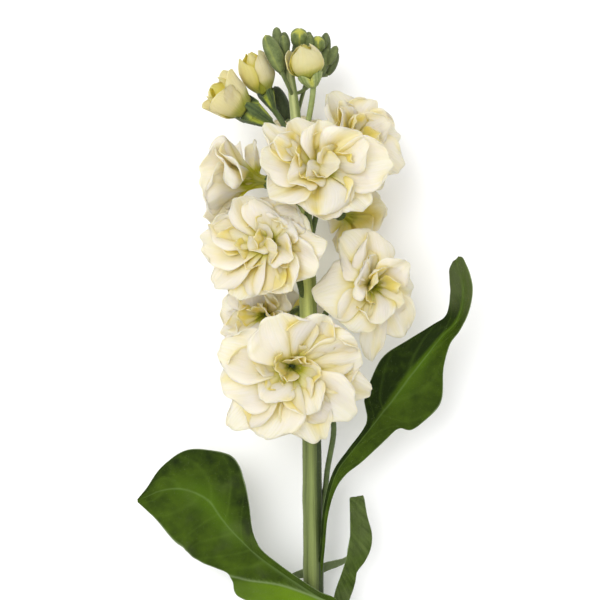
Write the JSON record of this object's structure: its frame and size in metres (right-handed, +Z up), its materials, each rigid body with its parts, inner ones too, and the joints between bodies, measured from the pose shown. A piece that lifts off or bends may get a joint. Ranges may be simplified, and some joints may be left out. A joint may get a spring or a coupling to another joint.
{
  "type": "stock flower stem",
  "caption": "Cut stem of double stock with ruffled cream blooms, opening buds, a green bud head and waved leaves, lying down.",
  "frame": {"origin": "on the table, under the middle of the flower's bounding box", "axes": "+Y along the stem from the cut end to the bud head, +Z up from the table"},
  "size_m": [0.101, 0.2674, 0.0521],
  "materials": {
    "stem_green": "satin, ribbed, with a fine grey bloom",
    "leaf_green": "felted, matte",
    "calyx_green": "felted, matte",
    "bud_green": "felted, matte",
    "petal_cream": "soft, slightly see-through",
    "bud_cream": "soft, slightly see-through"
  },
  "bodies": {
    "root": {"stem": "stem_green", "leaf_1": "leaf_green", "leaf_2": "leaf_green", "leaf_3": "leaf_green", "leaf_4": "leaf_green", "bloom_1_calyx": "calyx_green", "bloom_1_petals": "petal_cream", "bloom_2_calyx": "calyx_green", "bloom_2_petals": "petal_cream", "bloom_3_calyx": "calyx_green", "bloom_3_petals": "petal_cream", "bloom_4_calyx": "calyx_green", "bloom_4_petals": "petal_cream", "bloom_5_calyx": "calyx_green", "bloom_5_petals": "petal_cream", "bloom_6_calyx": "calyx_green", "bloom_6_petals": "petal_cream", "bloom_7_calyx": "calyx_green", "bloom_7_petals": "petal_cream", "bloom_8_calyx": "calyx_green", "bloom_8_petals": "petal_cream", "bloom_9_calyx": "calyx_green", "bloom_9_petals": "petal_cream", "bloom_10_calyx": "calyx_green", "bloom_10_petals": "petal_cream", "opening_bud_1_calyx": "calyx_green", "opening_bud_1_petals": "bud_cream", "opening_bud_2_calyx": "calyx_green", "opening_bud_2_petals": "bud_cream", "opening_bud_3_calyx": "calyx_green", "opening_bud_3_petals": "bud_cream", "bud_head": "bud_green"}
  },
  "joints": []
}
